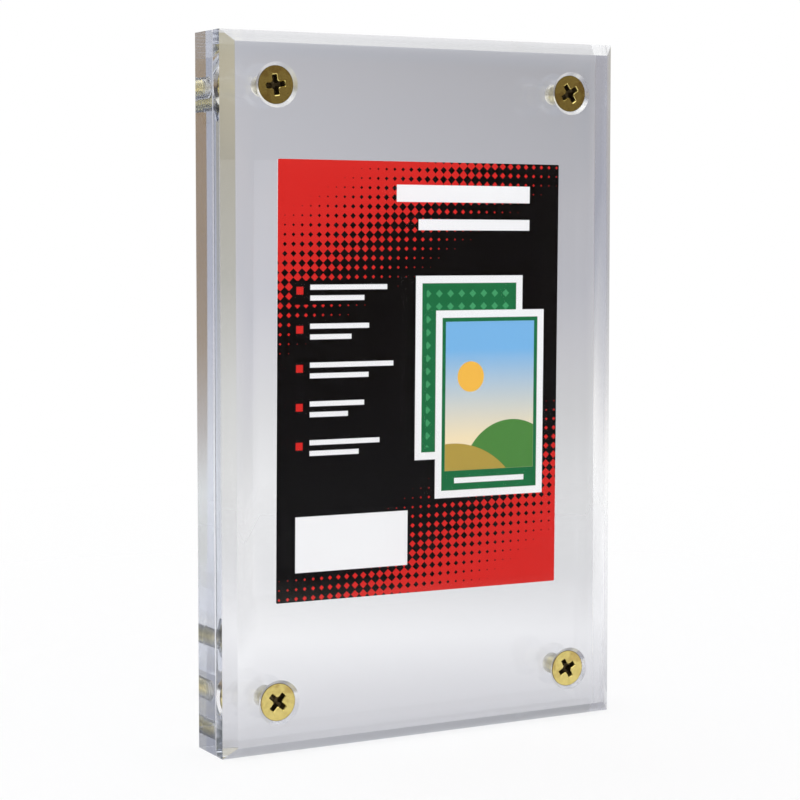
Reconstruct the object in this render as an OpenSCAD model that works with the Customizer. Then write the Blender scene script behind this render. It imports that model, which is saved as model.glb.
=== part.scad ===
// Clear two-plate display case for one trading card, clamped at its corners by four brass screws.
// Sizes are in millimetres and degrees. The case stands on its bottom edge with its front towards
// -Y, and the origin is the middle of the footprint of that edge.

/* [Plates] */
// Width of both plates
plate_w = 88.9; // [82:0.1:120]
// Height of both plates
plate_h = 139.7; // [120:0.1:180]
// Thickness of the back plate, which holds the threads
back_t = 8; // [6:0.1:12]
// Thickness of the front plate, which takes the screw heads
front_t = 5; // [4:0.1:8]
// How far the bevel reaches back down the edges of the front plate
bevel_depth = 2.1; // [0.5:0.1:3]
// How far the bevel reaches in over the face of the front plate
bevel_width = 2.3; // [0.5:0.1:4]

/* [Insert card] */
// Width of the insert card
card_w = 64; // [50:0.1:72]
// Height of the insert card
card_h = 86.4; // [60:0.1:95]
// Thickness of the insert card
card_t = 0.35; // [0.2:0.05:0.8]
// Height of the card's middle over the middle of the plates
card_rise = 2.1; // [-4:0.1:4]
// Clockwise turn of the loose card in its plane, seen from the front
card_tilt = 0.5; // [-1:0.1:1]

/* [Screws] */
// Distance of the screw axes from the side edges of the plates
inset_x = 11.1; // [8:0.1:14]
// Distance of the screw axes from the top and bottom edges of the plates
inset_z = 10.3; // [8:0.1:13]
// Outside diameter of the thread
thread_d = 4.17; // [3.4:0.01:4.8]
// Pitch of the thread
thread_pitch = 0.794; // [0.5:0.001:1]
// Length of the screw, from the face of its head to its tip
screw_len = 9.1; // [8:0.1:11]
// Diameter of the screw head
head_d = 7.4; // [6.6:0.1:9]
// Full angle of the cone under the head
head_angle = 82; // [80:1:100]
// Height of the straight rim round the head
head_land = 0.15; // [0.05:0.05:0.3]
// Depth of the head's face below the front of the case
head_sink = 0.5; // [0.2:0.1:0.9]
// Width of the cross recess from tip to tip
recess_d = 4.3; // [3.4:0.1:5]
// Width of each arm of the cross recess
recess_arm = 1; // [0.6:0.1:1.4]
// Depth of the cross recess
recess_depth = 1.9; // [1:0.1:2.1]
// Anticlockwise turn of the top left cross, seen from the front
turn_top_left = 8; // [0:1:90]
// Anticlockwise turn of the top right cross
turn_top_right = 32; // [0:1:90]
// Anticlockwise turn of the bottom left cross
turn_bottom_left = 48; // [0:1:90]
// Anticlockwise turn of the bottom right cross
turn_bottom_right = 28; // [0:1:90]

/* [Clearances] */
// Air between the card and each plate
card_gap = 0.02; // [0.01:0.01:0.1]
// Air round the thread in the holes of the back plate, on the radius
thread_gap = 0.05; // [0.02:0.01:0.1]
// Air round the thread in the holes of the front plate, on the radius
hole_gap = 0.2; // [0.1:0.05:0.5]
// Air round the head in its countersink, on the radius
seat_gap = 0.08; // [0.02:0.01:0.1]
// Room below the screw's tip in the full width of its threaded hole
tip_room = 1.6; // [0.4:0.1:2]
// Full angle of the point that the drill leaves at the bottom of a threaded hole
drill_angle = 118; // [90:1:140]

/* [Hidden] */
$fn = 96;

acrylic = [0.80, 0.81, 0.85, 0.45];
brass = [0.72, 0.62, 0.30];
print_black = [0.08, 0.08, 0.09];

// Length that a cut runs on past the face that it opens
over = 1;

// Levels through the case, measured forwards from its back face
card_back = back_t + card_gap;
front_back = card_back + card_t + card_gap;
case_t = front_back + front_t;
head_top = case_t - head_sink;

// Screw: the cone under the head ends where it meets the thread
cone_rate = tan(head_angle / 2);
cone_h = (head_d - thread_d) / 2 / cone_rate;
head_h = head_land + cone_h;
tip_level = head_top - screw_len;
thread_depth = 0.6 * thread_pitch;
thread_crest = 0.2 * thread_pitch;
root_r = thread_d / 2 - thread_depth;
thread_len = screw_len - head_h - thread_depth / cone_rate;
ridge_count = floor(thread_len / thread_pitch);

// Holes: each takes its size from the screw and a clearance
tapped_r = thread_d / 2 + thread_gap;
tapped_floor = tip_level - tip_room;
point_h = tapped_r / tan(drill_angle / 2);
clear_r = thread_d / 2 + hole_gap;
seat_depth = head_sink + head_land;
seat_rim_r = head_d / 2 + seat_gap + seat_depth * cone_rate;
seat_h = (seat_rim_r - clear_r) / cone_rate;

// The four corners, as the side (-1 left, 1 right) and the level (0 bottom, 1 top)
corners = [[-1, 1], [1, 1], [-1, 0], [1, 0]];

function corner_at(corner) = [
    corner[0] * (plate_w / 2 - inset_x),
    corner[1] == 1 ? plate_h - inset_z : inset_z
];

// Everything is drawn lying on its back with the front face up. This stands it on its bottom edge.
module stand_up() {
    translate([0, case_t / 2, 0])
    rotate([90, 0, 0])
        children();
}

// One part drawn at the origin, placed at a corner of the case
module at_corner(corner) {
    at = corner_at(corner);
    translate([at[0], at[1], 0])
        children();
}

// A plate with its back face at the given level
module slab(level, thickness) {
    translate([-plate_w / 2, 0, level])
        cube([plate_w, plate_h, thickness]);
}

// Prism that slices the bevel off one edge of the front face. The edge runs along X at the origin,
// and the plate lies on the +Y side, below the XY plane.
module bevel_cut(length) {
    slope = bevel_depth / bevel_width;
    rotate([90, 0, 90])
    linear_extrude(height = length + 2 * over, center = true)
        polygon([
            [-over, over],
            [bevel_width + over / slope, over],
            [-over, -bevel_depth - over * slope]
        ]);
}

// Bevel cuts along all four edges of the front face
module bevel_cuts() {
    for (side = [-1, 1]) {
        translate([side * plate_w / 2, plate_h / 2, case_t])
        rotate([0, 0, side * 90])
            bevel_cut(plate_h);
        translate([0, plate_h / 2 + side * plate_h / 2, case_t])
        rotate([0, 0, side > 0 ? 180 : 0])
            bevel_cut(plate_w);
    }
}

// Clearance hole and countersink for one screw in the front plate
module screw_seat() {
    translate([0, 0, front_back - over])
        cylinder(h = front_t + 2 * over, r = clear_r);
    translate([0, 0, case_t - seat_h])
        cylinder(h = seat_h + over, r1 = clear_r, r2 = seat_rim_r + over * cone_rate);
}

// Blind threaded hole for one screw in the back plate, with the drill's point at its bottom
module tapped_hole() {
    rotate_extrude()
        polygon([
            [0, tapped_floor - point_h],
            [tapped_r, tapped_floor],
            [tapped_r, back_t + over],
            [0, back_t + over]
        ]);
}

module back_plate() {
    color(acrylic)
    stand_up()
    difference() {
        slab(0, back_t);
        for (corner = corners) {
            at_corner(corner)
                tapped_hole();
        }
    }
}

module front_plate() {
    color(acrylic)
    stand_up()
    difference() {
        slab(front_back, front_t);
        bevel_cuts();
        for (corner = corners) {
            at_corner(corner)
                screw_seat();
        }
    }
}

module insert_card() {
    color(print_black)
    stand_up()
    translate([0, plate_h / 2 + card_rise, card_back])
    rotate([0, 0, -card_tilt])
    translate([-card_w / 2, -card_h / 2, 0])
        cube([card_w, card_h, card_t]);
}

// Half outline of one thread ridge, from the root below it to the root above it
function ridge(i) = let (foot = i * thread_pitch, flank = (thread_pitch - thread_crest) / 2) [
    [root_r, foot],
    [thread_d / 2, foot + flank],
    [thread_d / 2, foot + flank + thread_crest]
];

// Turned body of the screw, tip at the origin and head up. The ridges are rings at the pitch.
module screw_body() {
    ridges = [for (i = [0 : ridge_count - 1]) each ridge(i)];
    rotate_extrude()
        polygon(concat(
            [[0, 0]],
            ridges,
            [
                [root_r, ridge_count * thread_pitch],
                [root_r, thread_len],
                [head_d / 2, screw_len - head_land],
                [head_d / 2, screw_len],
                [0, screw_len]
            ]
        ));
}

// One arm pair of the cross recess: a bar whose ends taper with depth
module recess_bar() {
    top_half = recess_d / 2;
    foot_half = recess_d / 2 * 0.5;
    rotate([90, 0, 0])
    linear_extrude(height = recess_arm, center = true)
        polygon([
            [-foot_half, -recess_depth],
            [foot_half, -recess_depth],
            [top_half, 0],
            [top_half, over],
            [-top_half, over],
            [-top_half, 0]
        ]);
}

// Cross recess with its cone in the middle, cut down from the XY plane
module cross_recess() {
    core_r = recess_arm * 1.15;
    recess_bar();
    rotate([0, 0, 90])
        recess_bar();
    translate([0, 0, -recess_depth])
        cylinder(h = recess_depth, r1 = core_r * 0.6, r2 = core_r);
    cylinder(h = over, r = core_r);
}

// A whole screw in its place in the case, its cross turned by the given angle
module screw(corner, turn) {
    color(brass)
    stand_up()
    at_corner(corner)
    translate([0, 0, tip_level])
    rotate([0, 0, turn])
    difference() {
        screw_body();
        translate([0, 0, screw_len])
            cross_recess();
    }
}

module screw_top_left() {
    screw(corners[0], turn_top_left);
}

module screw_top_right() {
    screw(corners[1], turn_top_right);
}

module screw_bottom_left() {
    screw(corners[2], turn_bottom_left);
}

module screw_bottom_right() {
    screw(corners[3], turn_bottom_right);
}

back_plate();
front_plate();
insert_card();
screw_top_left();
screw_top_right();
screw_bottom_left();
screw_bottom_right();
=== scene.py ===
import bmesh
import bpy
import math
from mathutils import Matrix, Vector


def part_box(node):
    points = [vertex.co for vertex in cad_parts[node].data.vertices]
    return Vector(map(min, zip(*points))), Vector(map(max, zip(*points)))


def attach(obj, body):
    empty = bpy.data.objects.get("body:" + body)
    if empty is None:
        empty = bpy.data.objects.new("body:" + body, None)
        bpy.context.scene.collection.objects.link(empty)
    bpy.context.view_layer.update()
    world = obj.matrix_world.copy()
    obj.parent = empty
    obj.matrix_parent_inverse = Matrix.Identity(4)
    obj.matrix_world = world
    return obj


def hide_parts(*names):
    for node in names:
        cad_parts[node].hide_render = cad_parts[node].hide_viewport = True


print("loading the frame")
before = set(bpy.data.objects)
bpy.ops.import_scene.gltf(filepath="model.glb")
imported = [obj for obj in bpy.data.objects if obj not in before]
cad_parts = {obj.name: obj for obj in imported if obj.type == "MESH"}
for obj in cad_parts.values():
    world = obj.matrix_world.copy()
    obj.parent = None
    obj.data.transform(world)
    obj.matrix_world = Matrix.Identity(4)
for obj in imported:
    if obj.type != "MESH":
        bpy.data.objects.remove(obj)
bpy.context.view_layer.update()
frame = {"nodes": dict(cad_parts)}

mm = 0.001
tiny = 1e-6
corners = {"top_left": (-1, 1), "top_right": (1, 1), "bottom_left": (-1, 0), "bottom_right": (1, 0)}

backLow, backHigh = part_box("back_plate")
frontLow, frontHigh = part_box("front_plate")
cardLow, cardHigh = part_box("insert_card")
plateWidth = backHigh.x - backLow.x
plateHeight = backHigh.z - backLow.z
caseBack = backHigh.y

# Everything is modelled lying on its back with the front face up, so a level is a height over the
# back face of the case. standUp turns a finished mesh upright, into the frame's axes.
backTop = caseBack - backLow.y
frontBottom = caseBack - frontHigh.y
frontTop = caseBack - frontLow.y


def screwPlace(corner):
    low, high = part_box("screw_" + corner)
    middle = (low + high) / 2
    return Vector((middle.x, middle.z, caseBack - high.y)), high.y - low.y


def standUp(bm):
    turn = Matrix.Rotation(math.radians(90), 4, "X")
    bmesh.ops.transform(bm, matrix=Matrix.Translation((0, caseBack, 0)) @ turn, verts=bm.verts)


def finishPiece(bm, name, material, body, node, sharpAngle=15):
    standUp(bm)
    bmesh.ops.remove_doubles(bm, verts=bm.verts, dist=tiny)
    bmesh.ops.recalc_face_normals(bm, faces=bm.faces)
    mesh = bpy.data.meshes.new(name)
    bm.to_mesh(mesh)
    bm.free()
    for polygon in mesh.polygons:
        polygon.use_smooth = True
    mesh.set_sharp_from_angle(angle=math.radians(sharpAngle))
    mesh.materials.append(material)
    piece = bpy.data.objects.new(name, mesh)
    bpy.context.scene.collection.objects.link(piece)
    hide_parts(node)
    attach(piece, body)
    print(name, "has", len(mesh.polygons), "faces")
    return piece


# Modelling helpers: loops of edges are extruded and moved, ring by ring

def openEdges(bm, level):
    return [e for e in bm.edges if len(e.link_faces) < 2
            and all(abs(v.co.z - level) < tiny for v in e.verts)]


def extrudeLoop(bm, edges):
    made = bmesh.ops.extrude_edge_only(bm, edges=edges)["geom"]
    verts = [g for g in made if isinstance(g, bmesh.types.BMVert)]
    edges = [g for g in made if isinstance(g, bmesh.types.BMEdge)]
    return verts, [e for e in edges if all(v in verts for v in e.verts)]


def ringTo(bm, edges, centre, radius, level):
    # extrudes a loop to a circle round the centre at the given level
    verts, edges = extrudeLoop(bm, edges)
    for v in verts:
        out = Vector((v.co.x - centre.x, v.co.y - centre.y, 0)).normalized() * radius
        v.co = Vector((centre.x + out.x, centre.y + out.y, level))
    return edges


def closeLoop(bm, edges, centre, level):
    # extrudes a loop to a point on the axis
    verts, edges = extrudeLoop(bm, edges)
    bmesh.ops.pointmerge(bm, verts=verts, merge_co=Vector((centre.x, centre.y, level)))


def circleAt(bm, centre, radius, level, segments=64):
    made = bmesh.ops.create_circle(bm, segments=segments, radius=radius, cap_ends=False,
                                   matrix=Matrix.Translation((centre.x, centre.y, level)))["verts"]
    return list({e for v in made for e in v.link_edges})


def sweepThread(bm, centre, profile, pitch, low, high, steps=48):
    # Sweeps one pitch of the thread's outline round one turn of its helix, right-handed, stacks copies
    # of that turn and cuts both ends flat. The helix starts where a whole pitch does, so a screw's
    # thread meets the one in its hole.
    first = math.floor(low / pitch) - 1
    turns = math.ceil(high / pitch) + 1 - first
    before = set(bm.verts)
    verts = [bm.verts.new((centre.x + r, centre.y, first * pitch + z)) for r, z in profile]
    edges = [bm.edges.new(pair) for pair in zip(verts, verts[1:])]
    bmesh.ops.spin(bm, geom=verts + edges, cent=(centre.x, centre.y, 0), axis=(0, 0, 1),
                   dvec=(0, 0, pitch / steps), angle=2 * math.pi, steps=steps,
                   use_merge=False, use_duplicate=False)
    turn = newGeometry(bm, before)
    for n in range(1, turns):
        copy = bmesh.ops.duplicate(bm, geom=turn)["geom"]
        raised = [g for g in copy if isinstance(g, bmesh.types.BMVert)]
        bmesh.ops.translate(bm, vec=(0, 0, n * pitch), verts=raised)
    bmesh.ops.remove_doubles(bm, verts=[v for v in bm.verts if v not in before], dist=tiny)
    for level, side in ((low, -1), (high, 1)):
        bmesh.ops.bisect_plane(bm, geom=newGeometry(bm, before), dist=tiny / 10, plane_co=(0, 0, level),
                               plane_no=(0, 0, side), clear_outer=True)


def newGeometry(bm, before):
    verts = [v for v in bm.verts if v not in before]
    edges = {e for v in verts for e in v.link_edges}
    faces = {f for v in verts for f in v.link_faces}
    return verts + list(edges) + list(faces)


# Node helpers: sums on sockets are written as Python expressions

class Nodes:
    def __init__(self, tree):
        self.tree = tree
        tree.nodes.clear()

    def add(self, kind, settings=None, inputs=None, output=0):
        node = self.tree.nodes.new("ShaderNode" + kind)
        for name, value in (settings or {}).items():
            if name == "stops":
                ramp = node.color_ramp.elements
                while len(ramp) < len(value):
                    ramp.new(1)
                for element, (place, colour) in zip(ramp, value):
                    element.position, element.color = place, colour
            else:
                setattr(node, name, value)
        for name, value in (inputs or {}).items():
            if isinstance(value, Wire):
                self.tree.links.new(value.socket, node.inputs[name])
            else:
                node.inputs[name].default_value = value
        return Wire(self, node.outputs[output]) if node.outputs else None

    def mixColour(self, factor, first, second):
        settings = {"data_type": "RGBA"}
        return self.add("Mix", settings, {0: factor, 6: first, 7: second}, 2)

    def noise(self, place, scale, detail=2.0, roughness=0.5):
        inputs = {"Vector": place, "Scale": scale, "Detail": detail, "Roughness": roughness}
        return self.add("TexNoise", {"noise_dimensions": "3D"}, inputs)


class Wire:
    def __init__(self, nodes, socket):
        self.nodes, self.socket = nodes, socket

    def maths(self, operation, *others, clamp=False, swapped=False):
        values = [*others, self] if swapped else [self, *others]
        settings = {"operation": operation, "use_clamp": clamp}
        return self.nodes.add("Math", settings, dict(enumerate(values)))

    def __add__(self, other): return self.maths("ADD", other)
    def __radd__(self, other): return self.maths("ADD", other)
    def __sub__(self, other): return self.maths("SUBTRACT", other)
    def __rsub__(self, other): return self.maths("SUBTRACT", other, swapped=True)
    def __mul__(self, other): return self.maths("MULTIPLY", other)
    def __rmul__(self, other): return self.maths("MULTIPLY", other)
    def __truediv__(self, other): return self.maths("DIVIDE", other)
    def __abs__(self): return self.maths("ABSOLUTE")

    def limited(self):
        # kept between 0 and 1
        return self.maths("MULTIPLY", 1.0, clamp=True)

    def below(self, edge, soft):
        # 1 where this is less than the edge, 0 where it is more, over a soft step
        return ((edge - self) * (1 / soft)).maths("ADD", 0.5, clamp=True)


def newMaterial(name):
    material = bpy.data.materials.new(name)
    material.use_nodes = True
    return material, Nodes(material.node_tree)


def shadeWith(nodes, inputs):
    nodes.add("OutputMaterial", inputs={"Surface": nodes.add("BsdfPrincipled", inputs=inputs)})


def objectPlace(nodes, scale=1 / mm):
    # the place on the piece, in millimetres
    place = nodes.add("TexCoord", output=3)
    return nodes.add("VectorMath", {"operation": "SCALE"}, {0: place, "Scale": scale})


def split(nodes, place):
    node = nodes.add("SeparateXYZ", inputs={0: place}).socket.node
    return [Wire(nodes, out) for out in node.outputs]


# Clear acrylic plates

acrylic = {"tint": (1, 1, 1, 1), "ior": 1.49, "absorbed": (0.77, 0.795, 0.85, 1), "density": 16.0,
           "edgeBreak": 0.015 * mm}
# Surfaces that a tool has cut, with their reach from a screw's axis and their depth in millimetres, and
# the cream painted sheen laid on the bored ones
toolMarks = {"cut": (1.0, 0.975, 0.86, 1), "bored": 0.33, "boreReach": 2.33, "backSkin": 0.4, "sunk": 0.16,
             "seatReach": 4.40, "seatDepth": 2.45, "grain": 2.0}


def fromAxis(nodes, x, z):
    # the distance from the nearest screw's axis, in millimetres: the four corners are folded onto one
    low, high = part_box("screw_top_right")
    axis = (low + high) / (2 * mm)
    middle = plateHeight / (2 * mm)
    across = abs(x) - axis.x
    up = abs(z - middle) - (axis.z - middle)
    return (across * across + up * up).maths("SQRT")


def acrylicMaterial(name):
    material, nodes = newMaterial(name)
    place = objectPlace(nodes)
    x, y, z = split(nodes, place)
    away = fromAxis(nodes, x, z)
    # drilled, tapped and countersunk surfaces are frosted by the tool
    marks = toolMarks
    bored = away.below(marks["boreReach"], 0.03) * y.below(caseBack / mm - marks["backSkin"], 0.05)
    sunk = away.below(marks["seatReach"], 0.03) * y.below(frontLow.y / mm + marks["seatDepth"], 0.05)
    tooling = nodes.noise(place, marks["grain"]) * 0.6 + 0.7
    roughness = (bored * marks["bored"]).maths("MAXIMUM", sunk * marks["sunk"]) * tooling
    # painted sheen: the bored surfaces are tinted cream, for the lit brass thread that shows through them
    tint = nodes.mixColour(bored, acrylic["tint"], marks["cut"])
    surface = nodes.add("BsdfPrincipled", inputs={
        "Base Color": tint, "Roughness": roughness, "IOR": acrylic["ior"], "Transmission Weight": 1.0})
    inside = nodes.add("VolumeAbsorption",
                       inputs={"Color": acrylic["absorbed"], "Density": acrylic["density"]})
    nodes.add("OutputMaterial", inputs={"Surface": surface, "Volume": inside})
    return material


screwThread = {"pitch": 0.794 * mm, "outside": 4.17 * mm / 2, "depth": 0.6 * 0.794 * mm, "land": 0.12,
               "crest": 0.2}
tappedHole = {"gap": 0.05 * mm, "room": 1.6 * mm, "runOut": 0.05 * mm, "neck": 0.2 * mm,
              "point": math.radians(118)}
screwSeat = {"bore": 2.285 * mm, "rim": 4.345 * mm, "slope": math.tan(math.radians(41)), "lip": 0.03 * mm}
frontBevel = {"depth": 2.1 * mm, "width": 2.3 * mm, "round": 0.06 * mm}


def slabWithRims(bm, bottom, top, bevel=None):
    # a closed slab with its edges broken, whose two large faces are then left open for the holes
    half = plateWidth / 2
    inset = bevel["width"] if bevel else 0
    face = bmesh.ops.create_grid(bm, x_segments=1, y_segments=1, size=0.5)["verts"]
    for v in face:
        up = (v.co.y + 0.5) * (plateHeight - 2 * inset) + inset
        v.co = Vector((v.co.x * 2 * (half - inset), up, top))
    edges = list({e for v in face for e in v.link_edges})
    if bevel:
        verts, edges = extrudeLoop(bm, edges)
        for v in verts:
            v.co.x = math.copysign(half, v.co.x)
            v.co.y = plateHeight if v.co.y > plateHeight / 2 else 0
            v.co.z = top - bevel["depth"]
    verts, edges = extrudeLoop(bm, edges)
    for v in verts:
        v.co.z = bottom
    bmesh.ops.contextual_create(bm, geom=edges)
    bmesh.ops.recalc_face_normals(bm, faces=bm.faces)
    rim = [e for e in bm.edges if bevel and all(abs(v.co.z - top) < tiny for v in e.verts)]
    others = [e for e in bm.edges if e not in rim]
    for edges, size in ((rim, bevel and bevel["round"]), (others, acrylic["edgeBreak"])):
        if edges:
            edges = [e for e in edges if e.is_valid]
            bmesh.ops.bevel(bm, geom=edges, offset=size, segments=2, profile=0.5, affect="EDGES",
                            material=-1, clamp_overlap=True)
    flats = [f for f in bm.faces if abs(f.normal.z) > 0.999 and f.calc_area() > half * half]
    bmesh.ops.delete(bm, geom=flats, context="FACES_ONLY")


def fillFlat(bm, level):
    bmesh.ops.triangle_fill(bm, edges=openEdges(bm, level), use_beauty=True, use_dissolve=False)


def frontPlate():
    bm = bmesh.new()
    slabWithRims(bm, frontBottom, frontTop, frontBevel)
    for corner in corners:
        centre, length = screwPlace(corner)
        rim, lip = screwSeat["rim"], screwSeat["lip"]
        edges = circleAt(bm, centre, rim + lip, frontTop)
        edges = ringTo(bm, edges, centre, rim, frontTop - lip)
        coneDepth = (rim - screwSeat["bore"]) / screwSeat["slope"]
        edges = ringTo(bm, edges, centre, screwSeat["bore"], frontTop - lip - coneDepth)
        edges = ringTo(bm, edges, centre, screwSeat["bore"], frontBottom)
    fillFlat(bm, frontTop)
    fillFlat(bm, frontBottom)
    return finishPiece(bm, "front_acrylic", clear, "front", "front_plate")


def threadProfile(gap=0.0):
    # half outline of one pitch of the thread, from one root to the next
    thread, pitch = screwThread, screwThread["pitch"]
    outside, root = thread["outside"] + gap, thread["outside"] - thread["depth"] + gap
    land, crest = pitch * thread["land"] / 2, pitch * thread["crest"] / 2
    return [(root, 0), (root, land), (outside, pitch / 2 - crest), (outside, pitch / 2 + crest),
            (root, pitch - land), (root, pitch)]


def backPlate():
    bm = bmesh.new()
    gap = tappedHole["gap"]
    outside = screwThread["outside"] + gap
    root = outside - screwThread["depth"]
    for corner in corners:
        centre, length = screwPlace(corner)
        bottom = centre.z - tappedHole["room"]
        sweepThread(bm, centre, threadProfile(gap), screwThread["pitch"], bottom, backTop)
        edges = ringTo(bm, openEdges(bm, bottom), centre, root, bottom - tappedHole["runOut"])
        edges = ringTo(bm, edges, centre, root, bottom - tappedHole["neck"])
        closeLoop(bm, edges, centre, bottom - outside / math.tan(tappedHole["point"] / 2))
    slab = bmesh.new()
    slabWithRims(slab, 0, backTop)
    slabMesh = bpy.data.meshes.new("slab")
    slab.to_mesh(slabMesh)
    slab.free()
    bm.from_mesh(slabMesh)
    bpy.data.meshes.remove(slabMesh)
    fillFlat(bm, 0)
    fillFlat(bm, backTop)
    return finishPiece(bm, "back_acrylic", clear, "back", "back_plate")


# Brass screws

screwHead = {"radius": 3.7 * mm, "land": 0.15 * mm, "edge": 0.08 * mm}
# each step of the recess goes in from the sides and the ends of its arms, down to a depth
crossRecess = {"span": 4.3 * mm, "arm": 1.2 * mm, "inner": 0.46 * mm, "outer": 0.18 * mm,
               "turns": {"top_left": 8, "top_right": 32, "bottom_left": 48, "bottom_right": 28},
               "steps": ((0.08 * mm, 0.16 * mm, 0.12 * mm), (0.08 * mm, 0.54 * mm, 1.3 * mm),
                         (0.12 * mm, 0.46 * mm, 1.6 * mm)), "depth": 1.9 * mm}
screwTip = {"chamfer": 0.35 * mm, "radius": 1.5 * mm}
brass = {"colour": (0.82, 0.68, 0.24, 1), "dull": (0.56, 0.43, 0.11, 1), "stain": (0.46, 0.29, 0.09, 1),
         "shadeAndDirt": (0.060, 0.034, 0.014, 1), "shankSheen": (0.97, 0.90, 0.58, 1), "roughness": 0.16}


def brassMaterial():
    material, nodes = newMaterial("brass")
    place = objectPlace(nodes)
    x, y, z = split(nodes, place)
    away = fromAxis(nodes, x, z)
    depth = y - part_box("screw_top_right")[0].y / mm
    grain = nodes.noise(place, 1.1, 4.0, 0.62)
    specks = nodes.noise(place, 6.5)
    clouds = nodes.noise(place, 0.42)
    # the face of the head is worn and stained
    face = depth.below(0.05, 0.02)
    worn = (grain - 0.45) * 2.2 + (1 - specks.below(0.60, 0.08)) * 0.5
    dull = worn.maths("MULTIPLY", face, clamp=True)
    colour = nodes.mixColour(dull * 0.7, brass["colour"], brass["dull"])
    stained = (1 - clouds.below(0.56, 0.12)) * face * 0.5
    colour = nodes.mixColour(stained, colour, brass["stain"])
    # the shank is painted paler and creamier than the worn face: clean brass, lightened as a painted sheen
    colour = nodes.mixColour((1 - depth.below(0.6, 0.3)) * 0.85, colour, brass["shankSheen"])
    # painted shade: a dark line is painted round the edge of the head, and the recess is painted nearly
    # black, for the shade in them; the recess has some dirt too
    rim = (1 - away.below(screwHead["radius"] / mm - 0.1, 0.1)) * depth.below(0.3, 0.1)
    colour = nodes.mixColour(rim * 0.75, colour, brass["shadeAndDirt"])
    # painted shade: the recess is painted nearly black, partly for dirt, and is also made rougher
    recess = (1 - depth.below(0.26, 0.16)) * away.below(2.4, 0.1) * depth.below(2.2, 0.1)
    colour = nodes.mixColour(recess * 0.93, colour, brass["shadeAndDirt"])
    rough = brass["roughness"] + grain * 0.12 + recess * 0.2
    bump = nodes.add("Bump", inputs={"Strength": 0.2, "Distance": 0.00001,
                                     "Height": (grain * 0.5 + specks * 0.5) * face})
    shadeWith(nodes, {"Base Color": colour, "Metallic": 1.0, "Roughness": rough, "Normal": bump})
    return material


def crossOutline(bm, level):
    # a cross of five squares with its corners rounded, drawn as one face and left as its outline
    span, arm = crossRecess["span"] / 2, crossRecess["arm"] / 2
    verts = bmesh.ops.create_grid(bm, x_segments=3, y_segments=3, size=1)["verts"]
    faces = {f for v in verts for f in v.link_faces}
    for v in verts:
        v.co.x = math.copysign(span if abs(v.co.x) > 0.5 else arm, v.co.x)
        v.co.y = math.copysign(span if abs(v.co.y) > 0.5 else arm, v.co.y)
        v.co.z = level
    away = [f for f in faces if min(abs(f.calc_center_median().x), abs(f.calc_center_median().y)) > arm]
    bmesh.ops.delete(bm, geom=away, context="FACES")
    cross = bmesh.ops.dissolve_faces(bm, faces=[f for f in faces if f.is_valid])["region"][0]
    inner = [v for v in cross.verts if max(abs(v.co.x), abs(v.co.y)) < span * 0.9]
    outer = [v for v in cross.verts if v not in inner]
    for kind, chosen in (("inner", inner), ("outer", outer)):
        bmesh.ops.bevel(bm, geom=[v for v in chosen if v.is_valid], offset=crossRecess[kind], segments=4,
                        profile=0.5, affect="VERTICES", material=-1)
    flat = [f for f in bm.faces if abs(f.calc_center_median().z - level) < tiny]
    cross = max(flat, key=lambda f: len(f.verts))
    edges = cross.edges[:]
    bmesh.ops.delete(bm, geom=[cross], context="FACES_ONLY")
    return edges


def recessStep(bm, edges, fromSide, fromEnd, level):
    # narrows the cross: its outer points move in by fromEnd along their arm and all by fromSide across it
    span, arm = crossRecess["span"] / 2, crossRecess["arm"] / 2
    verts, edges = extrudeLoop(bm, edges)
    for v in verts:
        reach = min(1, (max(abs(v.co.x), abs(v.co.y)) - arm) / (span - arm))
        along = fromSide + (fromEnd - fromSide) * max(0, reach)
        moves = (along, fromSide) if abs(v.co.x) > abs(v.co.y) else (fromSide, along)
        v.co.x -= math.copysign(moves[0], v.co.x)
        v.co.y -= math.copysign(moves[1], v.co.y)
        v.co.z = level
    return edges


def screwPiece(corner):
    centre, length = screwPlace(corner)
    axis = Vector((0, 0, 0))
    head, pitch = screwHead, screwThread["pitch"]
    root = screwThread["outside"] - screwThread["depth"]
    coneDepth = (head["radius"] - root) / screwSeat["slope"]
    tip, top = centre.z, centre.z + length
    neck = top - head["land"] - coneDepth
    threadLow, threadHigh = tip + screwTip["chamfer"], neck - pitch / 2
    bm = bmesh.new()
    sweepThread(bm, axis, threadProfile(), pitch, threadLow, threadHigh)
    closeLoop(bm, ringTo(bm, openEdges(bm, threadLow), axis, screwTip["radius"], tip), axis, tip)
    edges = openEdges(bm, threadHigh)
    for radius, level in ((root, threadHigh + pitch / 4), (root, neck),
                          (head["radius"], top - head["land"]), (head["radius"], top - head["edge"]),
                          (head["radius"] - head["edge"] * 0.3, top - head["edge"] * 0.3),
                          (head["radius"] - head["edge"], top)):
        edges = ringTo(bm, edges, axis, radius, level)
    rim = openEdges(bm, top)
    before = set(bm.verts)
    outline = crossOutline(bm, top)
    edges = outline
    for fromSide, fromEnd, depth in crossRecess["steps"]:
        edges = recessStep(bm, edges, fromSide, fromEnd, top - depth)
    closeLoop(bm, edges, axis, top - crossRecess["depth"])
    bmesh.ops.rotate(bm, cent=(0, 0, 0), verts=[v for v in bm.verts if v not in before],
                     matrix=Matrix.Rotation(math.radians(crossRecess["turns"][corner]), 3, "Z"))
    bmesh.ops.triangle_fill(bm, edges=rim + outline, use_beauty=True, use_dissolve=False)
    bmesh.ops.translate(bm, vec=(centre.x, centre.y, 0), verts=bm.verts)
    return finishPiece(bm, "brass_screw_" + corner, metal, corner + "_screw", "screw_" + corner,
                       sharpAngle=18)


# Printed insert card

cardSize = {"width": 64 * mm, "height": 86.4 * mm, "tilt": 0.5, "edge": 0.04 * mm, "corner": 0.25 * mm}
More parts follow.
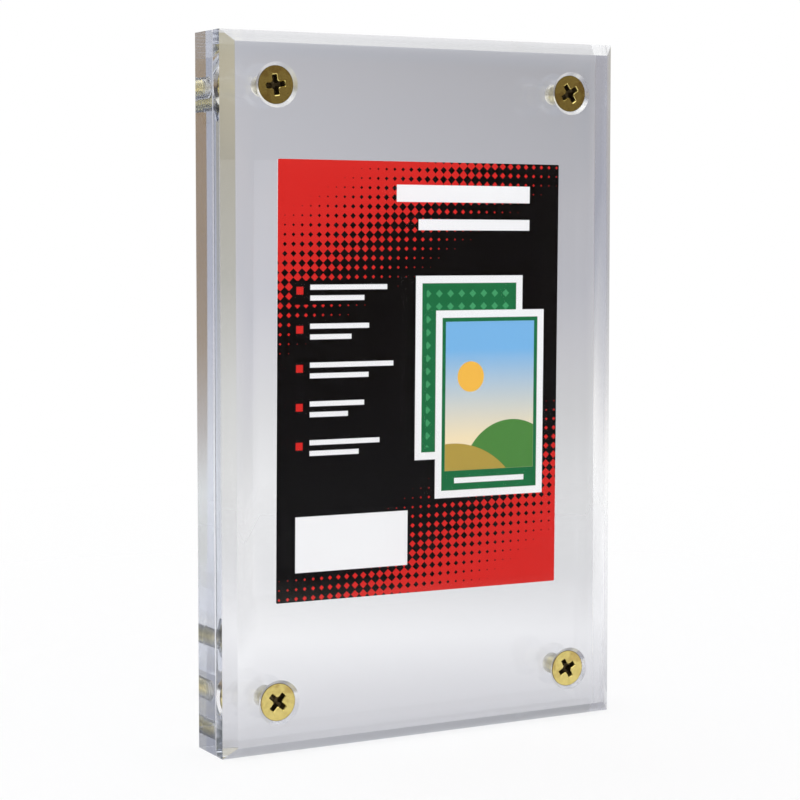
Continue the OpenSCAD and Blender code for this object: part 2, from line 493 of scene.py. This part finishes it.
# The print, in millimetres from the middle of the card. Rows and boxes are (left, bottom, width, height)
insertPrint = {
    "black": (0.003, 0.0025, 0.004, 1), "red": (0.72, 0.018, 0.014, 1), "white": (0.97, 0.97, 0.97, 1),
    "green": (0.012, 0.18, 0.06, 1), "leaf": (0.06, 0.38, 0.15, 1), "sky": (0.22, 0.52, 0.85, 1),
    "haze": (0.97, 0.82, 0.55, 1), "sun": (0.98, 0.55, 0.08, 1), "hill": (0.09, 0.28, 0.06, 1),
    "field": (0.50, 0.36, 0.07, 1), "lattice": 1.85,
    "gloss": 0.15, "title": ((-6, 35.2, 31, 3.4), (-1, 29.6, 26, 2.2)),
    "rows": {"left": -28, "top": 17, "spacing": 7.6, "lengths": (17, 13, 18.5, 12, 15.5), "bar": 1.0,
             "bullet": 1.5, "indent": 3},
    "weave": 2.6, "fade": {"from": 18, "over": 27},
    "back": {"left": -1.5, "bottom": -16.5, "width": 25, "height": 37},
    "picture": {"left": 3.2, "bottom": -24.5, "width": 25.5, "height": 38},
    "panel": (-28, -37.5, 25, 11)}


class Print:
    # paints flat shapes over one another on the card's own millimetres
    def __init__(self, nodes, u, v, colour):
        self.nodes, self.u, self.v, self.colour = nodes, u, v, colour

    def lay(self, mask, colour):
        self.colour = self.nodes.mixColour(mask, self.colour, insertPrint[colour])

    def box(self, left, bottom, width, height, soft=0.1):
        beside = abs(self.u - (left + width / 2)).below(width / 2, soft)
        return beside * abs(self.v - (bottom + height / 2)).below(height / 2, soft)

    def disc(self, x, y, radius, soft=0.1):
        across, up = self.u - x, self.v - y
        return (across * across + up * up).maths("SQRT").below(radius, soft)


def latticeDiamond(sheet, pitch):
    # the distance from the nearest point of a square lattice, measured along its diamonds
    across = abs((sheet.u * (1 / pitch)).maths("FRACT") - 0.5)
    return across + abs((sheet.v * (1 / pitch)).maths("FRACT") - 0.5)


def paintLattice(sheet, soft=0.06):
    # diamonds of red that swell and join towards two corners
    diamond = latticeDiamond(sheet, insertPrint["lattice"])
    slant = sheet.v * 0.88 - sheet.u * 0.48
    span = insertPrint["fade"]
    fade = ((abs(slant) - span["from"]) * (1 / span["over"])).limited()
    ink = (1 - diamond).below(fade, soft) * fade.below(0.02, 0.02).maths("LESS_THAN", 0.5)
    sheet.lay(ink, "red")


def paintPicture(sheet):
    # two sample cards: the back of one with a diamond, and over it one with sun and hills
    frame = insertPrint["back"]
    left, bottom, width, height = frame["left"], frame["bottom"], frame["width"], frame["height"]
    sheet.lay(sheet.box(left, bottom, width, height), "white")
    sheet.lay(sheet.box(left + 1.5, bottom + 1.5, width - 3, height - 3), "green")
    weave = latticeDiamond(sheet, insertPrint["weave"]).below(0.3, 0.06)
    sheet.lay(sheet.box(left + 2.5, bottom + 2.5, width - 5, height - 5) * weave, "leaf")
    frame = insertPrint["picture"]
    left, bottom, width, height = frame["left"], frame["bottom"], frame["width"], frame["height"]
    sheet.lay(sheet.box(left, bottom, width, height), "white")
    sheet.lay(sheet.box(left + 1.5, bottom + 1.5, width - 3, height - 3), "green")
    inside = sheet.box(left + 2.3, bottom + 5.5, width - 4.6, height - 7.8)
    rise = ((sheet.v - (bottom + 12)) * (1 / 18)).limited()
    sky = sheet.nodes.mixColour(rise, insertPrint["haze"], insertPrint["sky"])
    sheet.colour = sheet.nodes.mixColour(inside, sheet.colour, sky)
    sheet.lay(inside * sheet.disc(left + 8.2, bottom + 24.5, 3.1), "sun")
    sheet.lay(inside * sheet.disc(left + 18, bottom + 4, 11.5), "hill")
    sheet.lay(inside * sheet.disc(left + 4, bottom - 6.5, 17.5), "field")
    sheet.lay(sheet.box(left + 4.5, bottom + 2.9, width - 9, 1.1), "white")


def cardMaterial():
    material, nodes = newMaterial("insert_print")
    middle = (cardLow + cardHigh) / 2
    turn = math.radians(cardSize["tilt"])
    place = nodes.add("Mapping", {"vector_type": "TEXTURE"},
                      {"Vector": nodes.add("TexCoord", output=3), "Location": middle,
                       "Rotation": (0, turn, 0), "Scale": (mm, mm, mm)})
    u, depth, v = split(nodes, place)
    sheet = Print(nodes, u, v, insertPrint["black"])
    paintLattice(sheet)
    for bar in insertPrint["title"]:
        sheet.lay(sheet.box(*bar), "white")
    rows = insertPrint["rows"]
    for row, length in enumerate(rows["lengths"]):
        level = rows["top"] - row * rows["spacing"]
        left, indent, bar, bullet = rows["left"], rows["indent"], rows["bar"], rows["bullet"]
        sheet.lay(sheet.box(left - 0.8, level - 2, length + 4.6, 4.7), "black")
        sheet.lay(sheet.box(left, level, bullet, bullet), "red")
        sheet.lay(sheet.box(left + indent, level + 0.9, length, bar), "white")
        sheet.lay(sheet.box(left + indent, level - 1.2, length * 0.7, bar), "white")
    paintPicture(sheet)
    sheet.lay(sheet.box(*insertPrint["panel"]), "white")
    # only the front is printed, and the back is plain card
    printed = depth.below(0, 0.05)
    colour = nodes.mixColour(printed, insertPrint["white"], sheet.colour)
    paper = nodes.noise(place, 3.0, 3.0)
    rough = 0.45 - printed * 0.1 + paper * 0.06
    bump = nodes.add("Bump", inputs={"Strength": 0.05, "Distance": 0.00002, "Height": paper})
    shadeWith(nodes, {"Base Color": colour, "Roughness": rough, "Normal": bump,
                      "Specular IOR Level": insertPrint["gloss"]})
    return material


def insertCard():
    middle = (cardLow + cardHigh) / 2
    bottom, top = caseBack - cardHigh.y, caseBack - cardLow.y
    bm = bmesh.new()
    face = bmesh.ops.create_grid(bm, x_segments=1, y_segments=1, size=0.5)["verts"]
    for v in face:
        v.co = Vector((v.co.x * cardSize["width"], v.co.y * cardSize["height"], top))
    bmesh.ops.bevel(bm, geom=face, offset=cardSize["corner"], segments=4, profile=0.5, affect="VERTICES",
                    material=-1)
    verts, edges = extrudeLoop(bm, openEdges(bm, top))
    for v in verts:
        v.co.z = bottom
    bmesh.ops.contextual_create(bm, geom=edges)
    bmesh.ops.recalc_face_normals(bm, faces=bm.faces)
    rims = [e for e in bm.edges if abs(e.verts[0].co.z - e.verts[1].co.z) < tiny]
    bmesh.ops.bevel(bm, geom=rims, offset=cardSize["edge"], segments=1, profile=0.5, affect="EDGES",
                    material=-1)
    tilt = Matrix.Rotation(math.radians(-cardSize["tilt"]), 3, "Z")
    bmesh.ops.rotate(bm, cent=(0, 0, 0), verts=bm.verts, matrix=tilt)
    bmesh.ops.translate(bm, vec=(middle.x, middle.z, 0), verts=bm.verts)
    return finishPiece(bm, "insert_sheet", cardMaterial(), "card", "insert_card")


print("modelling the plates")
clear = acrylicMaterial("clear_acrylic")
metal = brassMaterial()
frontPlate()
backPlate()
print("modelling the screws")
for corner in corners:
    screwPiece(corner)
print("modelling the insert")
insertCard()


# Camera, floor and studio light

view = {"place": (-0.21522, -0.38714, 0.10518), "yaw": 28.73, "pitch": -3.59, "focal": 2200, "frame": 800,
        "middleRow": 350, "sensor": 36}


def makeCamera():
    data = bpy.data.cameras.new("camera")
    data.sensor_width = view["sensor"]
    data.lens = view["focal"] / view["frame"] * view["sensor"]
    data.shift_y = (view["middleRow"] - view["frame"] / 2) / view["frame"]
    data.clip_start, data.clip_end = 0.01, 20
    camera = bpy.data.objects.new("camera", data)
    bpy.context.scene.collection.objects.link(camera)
    camera.location = view["place"]
    camera.rotation_euler = (math.radians(90 + view["pitch"]), 0, math.radians(-view["yaw"]))
    bpy.context.scene.camera = camera


floor = {"radius": 0.5, "solid": 0.12, "fade": 0.42, "colour": (0.84, 0.84, 0.845, 1), "lift": 0.72,
         "aheadRate": 12, "rightRate": 10, "right": 0.35,
         "shadeTone": (0.54, 0.54, 0.565, 1), "reach": 0.10, "ahead": 0.075}


def makeFloor():
    bm = bmesh.new()
    bmesh.ops.create_circle(bm, cap_ends=True, segments=96, radius=floor["radius"])
    mesh = bpy.data.meshes.new("floor")
    bm.to_mesh(mesh)
    bm.free()
    material, nodes = newMaterial("floor")
    x, y, z = split(nodes, nodes.add("TexCoord", output=3))
    seen = Wire(nodes, nodes.add("LightPath").socket.node.outputs["Is Camera Ray"])
    away = (x * x + y * y).maths("SQRT")
    fade = ((away - floor["solid"]) * (1 / (floor["fade"] - floor["solid"]))).limited()
    # in front of the case the floor fades for all but the camera, to keep it out of the card's gloss
    ahead = ((0 - y - floor["ahead"]) * floor["aheadRate"]).limited() * (1 - seen)
    fade = fade.maths("MAXIMUM", ahead)
    # painted shadow: through the clear plates the floor close behind the case is painted darker for the
    # case's shadow, and painted darker to the right as painted shade; the camera does not see this
    behind = (1 - (y - caseBack) * (1 / floor["reach"])).maths("MAXIMUM", 0.0)
    right = (x * floor["rightRate"]).maths("MINIMUM", 1.0) * floor["right"]
    floorShade = behind.maths("MAXIMUM", right) * y.maths("GREATER_THAN", caseBack) * (1 - seen)
    tone = nodes.mixColour(floorShade, floor["colour"], floor["shadeTone"])
    matte = nodes.add("BsdfDiffuse", inputs={"Color": tone})
    white = nodes.add("Emission", inputs={"Color": (1, 1, 1, 1), "Strength": 1.0})
    paper = nodes.add("MixShader", inputs={0: seen * floor["lift"], 1: matte, 2: white})
    nothing = nodes.add("BsdfTransparent")
    surface = nodes.add("MixShader", inputs={0: fade, 1: paper, 2: nothing})
    nodes.add("OutputMaterial", inputs={"Surface": surface})
    mesh.materials.append(material)
    ground = bpy.data.objects.new("floor", mesh)
    bpy.context.scene.collection.objects.link(ground)


# What the clear plates and the brass show round the case, fitted to the photo's tones, as colours over
# the sine of the elevation: a grey backdrop behind, a khaki wall to the right and a brown room in
# front, over a white table
studio = {
    "lowest": -0.4, "highest": 0.45, "light": (1.15, 1.15, 1.16, 1), "overhead": (1.8, 1.8, 1.8, 1),
    "ceiling": (0.15, 0.165, 0.165, 1), "ceilingFrom": 0.75,
    # how many reflections a path has had inside a plate before it sees the ceiling or the backdrop
    "deep": 3, "thin": 11,
    # where each wall begins, and over how much of the direction it fades in
    "leftWall": (0.3, 0.2), "rightWall": (0.6, 0.12), "frontWall": (0.35, 0.5),
    "falloff": {"from": 0.4, "rate": 0.95, "upward": 6, "limit": 0.08},
    "behind": ((-0.4, (0.66, 0.66, 0.67)), (-0.25, (0.86, 0.86, 0.87)), (-0.144, (1.0, 1.0, 1.0)),
               (-0.117, (0.96, 0.96, 0.97)), (-0.09, (0.85, 0.85, 0.86)), (-0.063, (0.775, 0.77, 0.805)),
               (-0.035, (0.68, 0.68, 0.73)), (0.005, (0.66, 0.655, 0.695)), (0.046, (0.59, 0.60, 0.65)),
               (0.08, (0.54, 0.55, 0.60)), (0.2, (0.47, 0.475, 0.515)), (0.33, (0.45, 0.455, 0.49)),
               (0.45, (0.7, 0.7, 0.74))),
    "left": ((-0.4, (0.8, 0.8, 0.8)), (-0.2, (1.08, 1.08, 1.08)), (-0.157, (1.14, 1.14, 1.14)),
             (-0.13, (1.17, 1.17, 1.165)), (-0.103, (1.02, 1.01, 1.01)), (-0.076, (0.73, 0.73, 0.76)),
             (-0.045, (0.53, 0.54, 0.60)), (-0.02, (0.44, 0.45, 0.52)), (0.02, (0.46, 0.46, 0.51)),
             (0.06, (0.45, 0.45, 0.50)), (0.3, (0.40, 0.40, 0.44)), (0.45, (0.7, 0.7, 0.74))),
    "right": ((-0.4, (0.8, 0.8, 0.8)), (-0.117, (0.86, 0.86, 0.85)), (-0.08, (0.76, 0.76, 0.74)),
              (-0.03, (0.55, 0.54, 0.49)), (0.02, (0.50, 0.475, 0.40)), (0.08, (0.57, 0.535, 0.41)),
              (0.45, (0.7, 0.7, 0.69))),
    "front": ((-0.4, (0.8, 0.8, 0.78)), (-0.175, (0.86, 0.84, 0.74)), (-0.15, (0.84, 0.82, 0.74)),
              (-0.126, (0.95, 0.94, 0.86)), (-0.099, (0.60, 0.53, 0.45)), (-0.06, (0.46, 0.33, 0.19)),
              (0.05, (0.46, 0.31, 0.16)), (0.09, (0.55, 0.43, 0.27)), (0.14, (0.5, 0.42, 0.32)),
              (0.2, (0.60, 0.59, 0.57)), (0.33, (0.60, 0.59, 0.57)), (0.45, (0.6, 0.6, 0.6))),
    "flag": {"from": -0.185, "middle": 0.035, "to": 0.35, "soft": 0.04, "strength": 0.96, "upper": 0.5,
             "bounces": 4}}


def makeStudio():
    world = bpy.data.worlds.new("studio")
    world.use_nodes = True
    bpy.context.scene.world = world
    nodes = Nodes(world.node_tree)
    x, y, z = split(nodes, nodes.add("TexCoord", output=0))
    span = studio["highest"] - studio["lowest"]
    height = (z - studio["lowest"]) * (1 / span)

    def dome(name):
        stops = [((level - studio["lowest"]) / span, (*colour, 1)) for level, colour in studio[name]]
        return nodes.add("ValToRGB", {"stops": stops}, {0: height})

    def wall(name, direction):
        edge, soft = studio[name]
        return (direction - edge) * (1 / soft)

    black = (0, 0, 0, 1)
    toLeft = (wall("leftWall", x) * -1).limited()
    toRight = wall("rightWall", x).limited()
    toFront = (wall("frontWall", y) * -1).limited()
    # the backdrop darkens to the right, the more so the higher up
    darker = studio["falloff"]
    rising = z.maths("MAXIMUM", 0.0).maths("MINIMUM", darker["limit"])
    falloff = ((x - darker["from"]) * (darker["rate"] + rising * darker["upward"])).maths("MAXIMUM", 0.0)
    backdrop = nodes.mixColour(falloff, dome("behind"), black)
    backdrop = nodes.mixColour(toLeft, backdrop, dome("left"))
    surroundings = nodes.mixColour(toRight, backdrop, dome("right"))
    path = nodes.add("LightPath").socket.node.outputs
    bounces, glossy, seen, diffuse = (Wire(nodes, path[name]) for name in
                                      ("Glossy Depth", "Is Glossy Ray", "Is Camera Ray", "Diffuse Depth"))

    def upTo(count):
        return bounces.below(count + 0.5, 0.1)

    # after many reflections, as in the thin front plate, a path meets the backdrop instead of the room
    surroundings = nodes.mixColour(toFront * upTo(studio["thin"]), surroundings, dome("front"))
    # a dark flag in front keeps the room's reflection off the face of the case
    flag = studio["flag"]
    depth = z.below(flag["middle"], flag["soft"]) * (flag["strength"] - flag["upper"]) + flag["upper"]
    flagged = z.below(flag["to"], flag["soft"]) * (1 - z.below(flag["from"], flag["soft"])) * depth
    # it meets what a few faces reflect, not what has zigzagged out of an edge
    direct = upTo(flag["bounces"]) * (1 - upTo(0))
    surroundings = nodes.mixColour(flagged * toFront * direct, surroundings, black)
    # what has zigzagged in a plate meets a dark ceiling, and the rest a bright overhead light
    overhead = nodes.mixColour(upTo(studio["deep"]), studio["ceiling"], studio["overhead"])
    surroundings = nodes.mixColour(1 - z.below(studio["ceilingFrom"], 0.1), surroundings, overhead)
    # the card and the floor are lit evenly, and the camera sees plain white
    lights = (diffuse + (1 - glossy)).maths("MINIMUM", 1.0)
    colour = nodes.mixColour(lights, surroundings, studio["light"])
    colour = nodes.mixColour(seen, colour, (1, 1, 1, 1))
    background = nodes.add("Background", inputs={"Color": colour, "Strength": 1.0})
    nodes.add("OutputWorld", inputs={"Surface": background})


print("setting up the studio")
makeCamera()
makeFloor()
makeStudio()
scene = bpy.context.scene
scene.view_settings.view_transform = "Standard"
# light zigzags many times between the faces of a plate before it leaves at the far edge
scene.cycles.max_bounces = 32
scene.cycles.glossy_bounces = 28
scene.cycles.transmission_bounces = 28
# and the card gets its light through clear glass, which no filter may blur
scene.cycles.blur_glossy = 0
